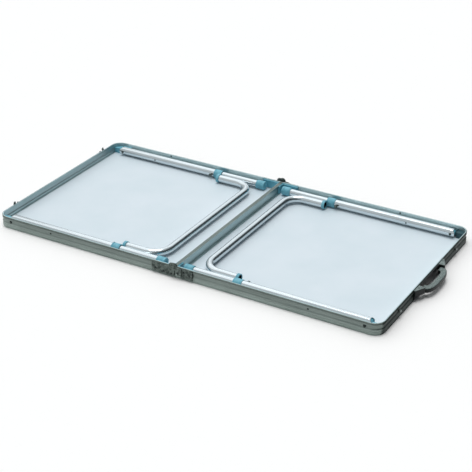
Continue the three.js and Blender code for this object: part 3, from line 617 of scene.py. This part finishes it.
for hand, way in HANDS.items():
    node = f"leg_brace_{hand}"
    bar, arm_x = ends_of(node, way)
    bar_x = bar + way * BRACE_RADIUS
    arm_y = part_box(node)[1].y - BRACE_RADIUS
    corners = [(arm_x, arm_y, LEG_Z), (bar_x, arm_y, LEG_Z), (bar_x, -arm_y, LEG_Z),
               (arm_x, -arm_y, LEG_Z)]
    route = bpy.data.meshes.new(f"brace_route_{hand}")
    route.from_pydata(corners, [(0, 1), (1, 2), (2, 3)], [])
    brace = grown(f"bent_brace_{hand}", route, brace_maker, bend_radius=BRACE_BEND,
                  tube_radius=BRACE_RADIUS, material=bright_aluminium)
    for sign in SIDES.values():
        bore = turned("bore", rod(BRACE_RADIUS - TUBE_WALL, BRACE_BORE),
                      (arm_x + way * MM, sign * arm_y, LEG_Z), (-way, 0, 0))
        combine(brace, bore, "DIFFERENCE")
    dress(brace, bright_aluminium, f"leg_set_{hand}", "leg_tube", node)

# ---------------------------------------------------------------- lock knobs
# A small fluted steel knob on the inner side of each leg, beside the collar. Its sprung stem
# passes through the tube wall and locks the extension.
KNOB_THICKNESS, STEM_RADIUS = 4 * MM, 2.2 * MM
KNOB_HEAD = [(0, 0), (0, 3.6 * MM), (0.3 * MM, 4.4 * MM), (0.8 * MM, 5 * MM), (3.3 * MM, 5 * MM),
             (3.8 * MM, 4.6 * MM), (KNOB_THICKNESS, 4 * MM)]
for hand in HANDS:
    for side, sign in SIDES.items():
        node = f"lock_knob_{hand}_{side}"
        low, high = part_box(node)
        face, reach = crosswise(node)
        stem = [(KNOB_THICKNESS, STEM_RADIUS), (reach, STEM_RADIUS), (reach, 0)]
        start = ((low.x + high.x) / 2, face, LEG_Z)
        knob = turned(f"fluted_{node}", KNOB_HEAD + stem, start, (0, sign, 0), sides=72,
                      flutes=(18, 0.25 * MM))
        dress(knob, zinc_steel, f"knob_{hand}_{side}", "steel", node)

# ---------------------------------------------------------------- extension tubes and feet
# A thinner bright tube slides in each outer tube, with a nylon foot pushed on its end. It has a
# hole for the knob's stem when pushed in, and one for the standing height.
DRAW_OUT = {"left": 166.8 * MM, "right": 140.8 * MM}
TUBE_CHAMFER = 0.3 * MM
FOOT_EDGE, FOOT_FLOOR = 2.4 * MM, 6 * MM


def lock_hole(x, axis_y):
    """A drill through the inner side of a leg, for the stem of its lock knob."""
    return turned("drill", rod(radius=2.5 * MM, length=13 * MM), (x, axis_y, LEG_Z),
                  (0, -axis_y, 0), sides=20)


for hand, way in HANDS.items():
    for side in SIDES:
        tube_node = f"extension_tube_{hand}_{side}"
        cap_node = f"foot_cap_{hand}_{side}"
        cap_low, cap_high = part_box(cap_node)
        axis = middle_of(cap_node)
        cap_radius = (cap_high.y - cap_low.y) / 2
        cap_length = cap_high.x - cap_low.x
        tube_start, tube_end = ends_of(tube_node, way)
        tube_length = abs(tube_end - tube_start)
        wall = [(0, SLIDE_RADIUS - TUBE_CHAMFER), (TUBE_CHAMFER, SLIDE_RADIUS),
                (tube_length, SLIDE_RADIUS), (tube_length, SLIDE_RADIUS - TUBE_WALL),
                (0, SLIDE_RADIUS - TUBE_WALL)]
        tube = turned(f"drawn_{tube_node}", wall, (tube_start, axis.y, LEG_Z), (way, 0, 0),
                      TUBE_SIDES, ring=True)
        knob_x = middle_of(f"lock_knob_{hand}_{side}").x
        for x in (knob_x, knob_x + way * DRAW_OUT[hand]):
            combine(tube, lock_hole(x, axis.y), "DIFFERENCE")
        dress(tube, bright_aluminium, f"extension_{hand}_{side}", "leg_tube", tube_node)

        # the foot: a dished sole, two grooves round it, a narrower mouth and the tube's bore
        bore = SLIDE_RADIUS + PLAY
        sole = [(2.2 * MM, 0), (2.2 * MM, 4.2 * MM), (1.2 * MM, 5.4 * MM), (0, 6.2 * MM),
                (0, cap_radius - FOOT_EDGE), *rolled(cap_radius, FOOT_EDGE, (22, 45, 67, 90))]
        grooves = [(at * MM, cap_radius - depth * MM) for middle in (8, 12)
                   for at, depth in ((middle - 1, 0), (middle - 0.6, 0.5),
                                     (middle + 0.6, 0.5), (middle + 1, 0))]
        mouth = [(cap_length - 3.5 * MM, cap_radius),
                 (cap_length - 3.1 * MM, cap_radius - 0.6 * MM),
                 (cap_length - 0.6 * MM, cap_radius - 0.6 * MM),
                 (cap_length, cap_radius - 1.2 * MM), (cap_length, bore), (FOOT_FLOOR, bore),
                 (FOOT_FLOOR, 0)]
        cap = turned(f"moulded_{cap_node}", sole + grooves + mouth,
                     (ends_of(cap_node, way)[0], axis.y, LEG_Z), (way, 0, 0))
        dress(cap, teal_nylon, f"extension_{hand}_{side}", "teal_plastic", cap_node)

# ---------------------------------------------------------------- seam hinges
# Blanked steel plates screwed to the outer faces of the long walls. Each has a round knuckle over
# the fold line, and a headed pin joins them: the right plate steps out over the left one, which
# has a second, blind eye next to its knuckle.
HINGE_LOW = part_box("hinge_plate_left_near")[0].z
HINGE_REACH = {"left": FOLD_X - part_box("hinge_plate_left_near")[0].x,
               "right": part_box("hinge_plate_right_near")[1].x - FOLD_X}
HINGE_TOP = 33.7 * MM
FOLD_Z = RIM_TOP + 0.15 * MM
KNUCKLE_RADIUS = 9.5 * MM
EYE_RADIUS, EYE_OFFSET = 8.5 * MM, 9 * MM
PLATE, PLATE_EDGE = 2.5 * MM, 0.5 * MM
JOG, STEP = 19.5 * MM, 3 * MM  # from the fold line to where the right plate steps out
STEP_LOW = 12 * MM
INNER_LAYER = abs(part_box("hinge_plate_left_near")[1].y)
OUTER_LAYER = INNER_LAYER + PLATE + PLAY


def close_plate(name, shape, rows):
    """Joins two equal outlines to a plate: the wall between them, and both faces."""
    for i in range(len(rows[0])):
        j = (i + 1) % len(rows[0])
        shape.faces.new((rows[0][i], rows[0][j], rows[1][j], rows[1][i]))
    shape.faces.new(rows[0])
    shape.faces.new(rows[1])
    return make_piece(name, shape)


def plate(name, outline, hand, start, thickness, sign):
    """An outline of (out from the fold, up) in metres, from a distance off the middle outwards."""
    shape = bmesh.new()
    rows = [[shape.verts.new((FOLD_X + HANDS[hand] * x, sign * off, z)) for x, z in outline]
            for off in (start, start + thickness)]
    return close_plate(name, shape, rows)


def blank(hand):
    """The free end of a hinge plate, with one corner cut off."""
    reach = HINGE_REACH[hand]
    return [(reach, HINGE_LOW), (reach, HINGE_TOP - 2.5 * MM), (reach - 3 * MM, HINGE_TOP)]


for side, sign in SIDES.items():
    eyes = [*arc((EYE_OFFSET, FOLD_Z), EYE_RADIUS, -11, 84, steps=20),
            *arc((0, FOLD_Z), KNUCKLE_RADIUS, 84, 272.4, steps=32)]
    inner = plate(f"hinge_leaf_left_{side}", [(SEAM, HINGE_LOW), *blank("left"), *eyes], "left",
                  INNER_LAYER, PLATE, sign)
    round_edges(inner, PLATE_EDGE)
    dress(inner, zinc_steel, "left_half", "steel", f"hinge_plate_left_{side}")

    outer = plate(f"hinge_leaf_right_{side}",
                  [(JOG, HINGE_LOW), *blank("right"), (JOG, HINGE_TOP)], "right",
                  INNER_LAYER, PLATE, sign)
    riser = [(JOG, STEP_LOW), (JOG + STEP, STEP_LOW), (JOG + STEP, HINGE_TOP), (JOG, HINGE_TOP)]
    combine(outer, plate("riser", riser, "right", INNER_LAYER, 2 * PLATE + PLAY, sign), "UNION")
    arm = [(JOG - 8 * MM, STEP_LOW), (JOG + STEP, STEP_LOW), (JOG + STEP, HINGE_TOP),
           *arc((0, FOLD_Z), KNUCKLE_RADIUS, 3, 276, steps=44)]
    combine(outer, plate("arm", arm, "right", OUTER_LAYER, PLATE, sign), "UNION")
    round_edges(outer, PLATE_EDGE)
    dress(outer, zinc_steel, "right_half", "steel", f"hinge_plate_right_{side}")

    node = f"hinge_pin_{side}"
    inner_end, length = crosswise(node)
    head = dome(length - 2.2 * MM, length, radius=5 * MM, inner=PIN_RADIUS)
    pin = turned(f"rivet_{node}", [(0, 0), (0, PIN_RADIUS), *head], (FOLD_X, inner_end, FOLD_Z),
                 (0, sign, 0), sides=32)
    dress(pin, zinc_steel, "left_half", "steel", node)

# ---------------------------------------------------------------- latches and catch studs
# Two moulded latch arms turn on shouldered studs on the left end wall, and hook over equal
# studs on the right one when the case is shut. The studs are zinc-plated steel, with a painted
# highlight in the middle of each crown.
STUD_RADIUS, HIGHLIGHT_RADIUS = 2.8 * MM, 2.2 * MM


def acetal(name, highlight_above, highlight_beyond):
    """Moulded acetal, almost black and matt, with a painted grey highlight above a height and
    beyond a distance sideways."""
    material, tree, place = new_material(name)
    spots = noise(tree, place, scale=320, detail=2.0)
    axes = add_node(tree, "ShaderNodeSeparateXYZ", {"Vector": place}).outputs
    sideways = add_node(tree, "ShaderNodeMath", {0: axes["Y"]}, operation="ABSOLUTE")
    above = add_node(tree, "ShaderNodeMapRange",
                     {"Value": axes["Z"], "From Min": highlight_above,
                      "From Max": highlight_above + 1.5 * MM})
    beyond = add_node(tree, "ShaderNodeMapRange",
                      {"Value": sideways.outputs["Value"], "From Min": highlight_beyond,
                       "From Max": highlight_beyond + 4 * MM})
    highlight_share = add_node(tree, "ShaderNodeMath", {0: above.outputs["Result"],
                                               1: beyond.outputs["Result"]},
                      operation="MULTIPLY")
    tone = add_node(tree, "ShaderNodeMix",
                    {"Factor": highlight_share.outputs["Value"], "A": linear("#101718"),
                     "B": two_tones(tree, spots, "#414c4c", "#899794")}, data_type="RGBA")
    shine = add_node(tree, "ShaderNodeMapRange", {"Value": spots, "To Min": 0.34, "To Max": 0.5})
    finish_material(tree, tone.outputs["Result"], shine.outputs["Result"], spots,
                    bump_depth=0.06 * MM, **{"Specular IOR Level": 0.22})
    return material


# Acetal, injection moulded: nearly black. The handle's base has a painted grey highlight on top
# of its two lugs, and the grip along its whole upper side.
black_acetal = acetal("black_moulded_acetal", highlight_above=RIM_TOP - 3 * MM,
                      highlight_beyond=64 * MM)
grip_acetal = acetal("rubbed_black_acetal", highlight_above=25.8 * MM, highlight_beyond=-5 * MM)

# A painted highlight for the middle of the studs' crowns: bright, half polished steel, mottled
# 1 mm across.
highlight_steel, tree, place = new_material("worn_bright_steel")
scuffs = noise(tree, place, scale=900)
highlight_tone = two_tones(tree, scuffs, "#c9d4d9", "#e2e9ec")
finish_material(tree, highlight_tone, 0.3, scuffs, bump_depth=0.01 * MM, Metallic=0.95)

for side in SIDES:
    node = f"latch_arm_{side}"
    arm = softened(node, f"moulded_{node}", width=0.5 * MM)
    dress(arm, black_acetal, f"latch_{side}", "black_plastic", node)
    for stud_node, body, way in ((f"latch_pivot_{side}", "left_half", -1),
                                 (f"catch_stud_{side}", "right_half", 1)):
        low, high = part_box(stud_node)
        length = high.x - low.x
        head = dome(length - 2.2 * MM, length, radius=4.8 * MM, inner=STUD_RADIUS)
        start = Vector((ends_of(stud_node, way)[0], (low.y + high.y) / 2, LEG_Z))
        stud = turned(f"turned_{stud_node}", [(0, 0), (0, STUD_RADIUS), *head], start,
                      (way, 0, 0), sides=32)
        # the middle of each crown takes the painted highlight
        finish_by_face(stud, zinc_steel, highlight_steel,
                       lambda centre: (centre - start).yz.length < HIGHLIGHT_RADIUS)
        dress(stud, None, body, "steel", stud_node)

# ---------------------------------------------------------------- carrying handle
# A moulded base is screwed to the right end wall. The bail grip turns on two trunnions between
# the base's wedge-shaped lugs, and the grip's edges are well rounded for the hand.
base = softened("handle_base", "moulded_handle_base", width=1.2 * MM, segments=3)
dress(base, black_acetal, "right_half", "black_plastic", "handle_base")

low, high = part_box("handle_grip")
GRIP_ROOT, GRIP_REACH, GRIP_Z = low.x, high.x, (low.z + high.z) / 2
GRIP_HALF, GRIP_WIDTH, GRIP_THICKNESS, GRIP_ARM = 65 * MM, 17 * MM, 14 * MM, 20 * MM
TRUNNION_X, TRUNNION_RADIUS, TRUNNION_ROOT = GRIP_ROOT + 4.5 * MM, 2.6 * MM, 2 * MM


def bowed(half, reach, flatness, steps):
    """A bow from one end of the grip to the other, with both ends on its root line."""
    points = []
    for i in range(steps + 1):
        turn = math.pi * i / steps
        out = math.sin(turn) ** flatness
        along = math.copysign(abs(math.cos(turn)) ** 0.8, math.cos(turn))
        points.append((GRIP_ROOT + (reach - GRIP_ROOT) * out, half * along))
    return points


outer_bow = bowed(GRIP_HALF, GRIP_REACH, flatness=0.55, steps=64)
inner_bow = bowed(GRIP_HALF - GRIP_ARM, GRIP_REACH - GRIP_WIDTH, flatness=0.4, steps=48)
outline = [*outer_bow, *reversed(inner_bow)]
shape = bmesh.new()
rows = [[shape.verts.new((x, y, GRIP_Z + lift)) for x, y in outline]
        for lift in (-GRIP_THICKNESS / 2, GRIP_THICKNESS / 2)]
grip = close_plate("bail_grip", shape, rows)
round_edges(grip, width=3.6 * MM, segments=5)
dress(grip, grip_acetal, "handle", "black_plastic", "handle_grip")

for side, sign in SIDES.items():
    length = high.y - GRIP_HALF + TRUNNION_ROOT
    pin = turned(f"grip_trunnion_{side}", rod(TRUNNION_RADIUS, length),
                 (TRUNNION_X, sign * (GRIP_HALF - TRUNNION_ROOT), GRIP_Z), (0, sign, 0),
                 sides=24)
    dress(pin, black_acetal, "handle", "black_plastic")

# ---------------------------------------------------------------- rivets and screws
# Domed blackened steel heads hold the walls, plates, legs and handle together. One tree sets a
# head on every point, turned to face away from the surface that it is driven into.
rivet_maker, given = start_tree("domed_heads", "Head radius", "Crown")
ball = add_node(rivet_maker, "GeometryNodeMeshUVSphere",
                {"Segments": 20, "Rings": 10, "Radius": 1.0})
head_size = add_node(rivet_maker, "ShaderNodeCombineXYZ",
                     {"X": given["Head radius"], "Y": given["Head radius"], "Z": given["Crown"]})
facing = add_node(rivet_maker, "GeometryNodeInputNamedAttribute", {"Name": "facing"},
                  data_type="FLOAT_VECTOR")
turn = add_node(rivet_maker, "FunctionNodeAlignRotationToVector",
                {"Vector": facing.outputs["Attribute"]}, axis="Z")
heads = add_node(rivet_maker, "GeometryNodeInstanceOnPoints",
                 {"Points": given["Geometry"], "Instance": ball.outputs["Mesh"],
                  "Rotation": turn.outputs["Rotation"], "Scale": head_size.outputs["Vector"]})
end_tree(rivet_maker, heads.outputs["Instances"], given["Material"])


def rivets(name, body, heads_at, radius, crown):
    """Sets domed heads at (place, facing direction) pairs; crown is how far they stand out."""
    points = bpy.data.meshes.new(name)
    points.from_pydata([at for at, _ in heads_at], [], [])
    direction = points.attributes.new("facing", "FLOAT_VECTOR", "POINT")
    for item, (_, way_out) in zip(direction.data, heads_at):
        item.vector = way_out
    piece = grown(name, points, rivet_maker, head_radius=radius, crown=crown,
                  material=black_steel)
    dress(piece, black_steel, body, "steel")


WALL_RIVET_X = {"left": 414 * MM, "right": 397 * MM}
INNER_RIVET_X, INNER_RIVET_Z = {"left": 393 * MM, "right": 388 * MM}, 30 * MM
LEG_RIVET_X = {"left": 432 * MM, "right": 421 * MM}
# millimetres out from the fold line and up; on the right, the first screw goes through the arm
# that stands over the left plate
HINGE_SCREWS = {"left": ((10, 11), (34, 12), (60, 16)), "right": ((12.4, 18), (29, 24), (47, 18))}
for hand, way in HANDS.items():
    wall_heads = []
    for sign in SIDES.values():
        wall_heads.append(((FOLD_X + way * WALL_RIVET_X[hand], sign * (RIM_SIDE - GROOVE), LEG_Z),
                           (0, sign, 0)))
        wall_heads.append(((FOLD_X + way * INNER_RIVET_X[hand], sign * (RIM_SIDE - WALL),
                            INNER_RIVET_Z), (0, -sign, 0)))
    rivets(f"wall_rivets_{hand}", f"{hand}_half", wall_heads, radius=2.8 * MM, crown=1.1 * MM)

    screws = []
    for sign in SIDES.values():
        for x, z in HINGE_SCREWS[hand]:
            layer = OUTER_LAYER if hand == "right" and x * MM < JOG else INNER_LAYER
            screws.append(((FOLD_X + way * x * MM, sign * (layer + PLATE), z * MM),
                           (0, sign, 0)))
    rivets(f"hinge_screws_{hand}", f"{hand}_half", screws, radius=3.2 * MM, crown=1.3 * MM)

    leg_heads = []
    for side, sign in SIDES.items():
        inner_side = middle_of(f"outer_tube_{hand}_{side}").y - sign * LEG_RADIUS
        leg_heads.append(((FOLD_X + way * LEG_RIVET_X[hand], inner_side, LEG_Z), (0, -sign, 0)))
    rivets(f"leg_rivets_{hand}", f"leg_set_{hand}", leg_heads, radius=2.4 * MM, crown=1.0 * MM)

base_low, base_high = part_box("handle_base")
base_front = base_low.x + 3 * MM
base_screws = [((base_front, sign * y * MM, z * MM), (1, 0, 0)) for sign in SIDES.values()
               for y, z in ((24, 20), (base_high.y / MM - 8, 11))]
rivets("handle_screws", "right_half", base_screws, radius=2.6 * MM, crown=1.2 * MM)

# ---------------------------------------------------------------- studio
# A white seamless floor under a pale room that is darker to the right. The light comes from a
# lit ceiling, a lit wall on the left and one behind the table.
FLOOR_REACH = 40.0
floor_mesh = bpy.data.meshes.new("studio_floor")
floor_mesh.from_pydata([(x * FLOOR_REACH, y * FLOOR_REACH, 0)
                        for x, y in ((-1, -1), (1, -1), (1, 1), (-1, 1))], [], [(0, 1, 2, 3)])
floor = bpy.data.objects.new("studio_floor", floor_mesh)
bpy.context.collection.objects.link(floor)
floor.location.z = -0.5 * MM  # so that the foot of the rims doesn't share its plane
paper, tree, place = new_material("white_paper_floor")
matt = add_node(tree, "ShaderNodeBsdfDiffuse", {"Color": linear("#fefdfc")})
add_node(tree, "ShaderNodeOutputMaterial", {"Surface": matt.outputs["BSDF"]})
floor_mesh.materials.append(paper)

BRIGHTEST_WAY = (-0.6, -0.1, 0.75)  # up and to the left
world = bpy.data.worlds.new("studio_world")
bpy.context.scene.world = world
world.use_nodes = True
tree = world.node_tree
tree.nodes.clear()
direction = add_node(tree, "ShaderNodeTexCoord", {}).outputs["Generated"]
lift = add_node(tree, "ShaderNodeVectorMath", {0: direction, 1: BRIGHTEST_WAY},
                operation="DOT_PRODUCT")
walls = two_tones(tree, lift.outputs["Value"], "#4d5558", "#f7fafb", low=0.06, high=0.5)
ambient = add_node(tree, "ShaderNodeBackground", {"Color": walls, "Strength": 0.61})
add_node(tree, "ShaderNodeOutputWorld", {"Surface": ambient.outputs["Background"]})


def wide_light(name, direction, spread, strength, colour):
    """A distant soft light, as even as a lit studio ceiling; its spread is in degrees."""
    lamp = bpy.data.lights.new(name, "SUN")
    lamp.angle = math.radians(spread)
    lamp.energy = strength
    lamp.color = linear(colour)[:3]
    holder = bpy.data.objects.new(name, lamp)
    bpy.context.collection.objects.link(holder)
    holder.rotation_euler = Vector(direction).to_track_quat("Z", "Y").to_euler()


wide_light("ceiling_light", (-0.05, 0.05, 1.0), spread=28, strength=1.3, colour="#fdfdfd")
wide_light("left_wall_light", (-0.65, 0.2, 0.9), spread=60, strength=0.46, colour="#fbfdff")
wide_light("back_wall_light", (-0.25, 0.94, 0.58), spread=55, strength=0.37, colour="#f6fbff")

# The camera stands at the near right, well back, and looks down on the table.
CAMERA_PLACE = (1.6477, -2.8384, 1.7376)
LOOK_DOWN, HEADING = 28.01, 120.16  # degrees below level, and round from +X
LENS, SENSOR = 99.77, 36  # both in millimetres
camera_data = bpy.data.cameras.new("camera")
camera_data.sensor_width = SENSOR
camera_data.lens = LENS
camera_data.clip_end = 50
camera = bpy.data.objects.new("camera", camera_data)
bpy.context.collection.objects.link(camera)
camera.location = CAMERA_PLACE
camera.rotation_euler = (math.radians(90 - LOOK_DOWN), 0, math.radians(HEADING - 90))
bpy.context.scene.camera = camera
bpy.context.scene.view_settings.view_transform = "Standard"
